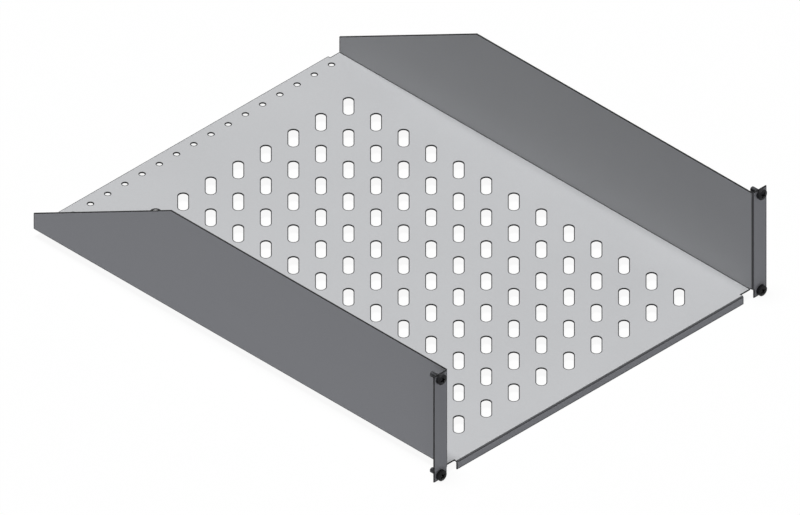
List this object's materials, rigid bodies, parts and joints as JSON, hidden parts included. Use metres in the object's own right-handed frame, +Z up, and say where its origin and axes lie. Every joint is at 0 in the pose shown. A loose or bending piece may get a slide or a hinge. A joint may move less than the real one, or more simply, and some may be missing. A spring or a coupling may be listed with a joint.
{
  "type": "slotted rack shelf",
  "caption": "Folded sheet-metal cantilever shelf for a server rack: slotted floor, side walls that slope down at the rear, rack ears with screws, lips and a rear hole row.",
  "frame": {"origin": "centre of the four-screw pattern, in the plane where the backs of the ears meet the rack's rails", "axes": "+X across the rack, +Y towards the rear of the rack, along the screws, +Z up"},
  "size_m": [0.4826, 0.6088, 0.1326],
  "materials": {
    "sheet_coat": "satin light grey coil coating, bare and dark at the cut edges",
    "screw_steel": "black oxide, slight sheen"
  },
  "bodies": {
    "root": {"rack_shelf": "sheet_coat", "rack_screws": "screw_steel"}
  },
  "joints": []
}
